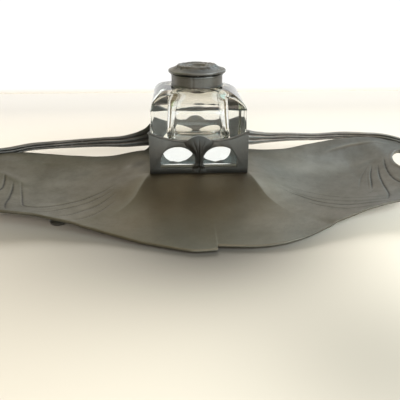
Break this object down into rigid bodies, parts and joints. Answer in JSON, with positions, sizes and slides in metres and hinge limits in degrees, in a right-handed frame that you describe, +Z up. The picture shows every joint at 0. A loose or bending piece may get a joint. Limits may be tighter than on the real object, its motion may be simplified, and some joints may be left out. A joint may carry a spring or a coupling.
{
  "type": "inkwell",
  "caption": "Winged pewter desk inkstand with ribbed rails and pen hollows, an openwork gallery, and a lift-out square glass ink bottle with a hinged round lid.",
  "frame": {"origin": "middle of the footprint on the table plane, under the four feet", "axes": "+X to the right along the wings, +Y to the back, +Z up"},
  "size_m": [0.2991, 0.143, 0.0737],
  "materials": {
    "pewter": "dark patinated pewter, satin",
    "glass": "clear, thick-walled",
    "plaster": "matte plaster"
  },
  "bodies": {
    "stand": {"tray": "pewter", "left_rail": "pewter", "right_rail": "pewter", "gallery_front": "pewter", "gallery_back": "pewter", "gallery_left": "pewter", "gallery_right": "pewter", "foot_front_left": "pewter", "foot_front_right": "pewter", "foot_back_left": "pewter", "foot_back_right": "pewter"},
    "bottle": {"bottle": "glass", "plaster_bed": "plaster", "collar": "pewter", "hinge_fixed_leaf": "pewter", "hinge_pin": "pewter"},
    "lid": {"lid": "pewter"}
  },
  "joints": [
    {"name": "bottle_lift", "type": "slide", "parent": "stand", "child": "bottle", "axis": [0, 0, 1], "range_m": [0, 0.032]},
    {"name": "lid_hinge", "type": "hinge", "parent": "bottle", "child": "lid", "pos_m": [0.0028, 0.05885, 0.06925], "axis": [-1, 0, 0], "range_deg": [0, 105]}
  ]
}
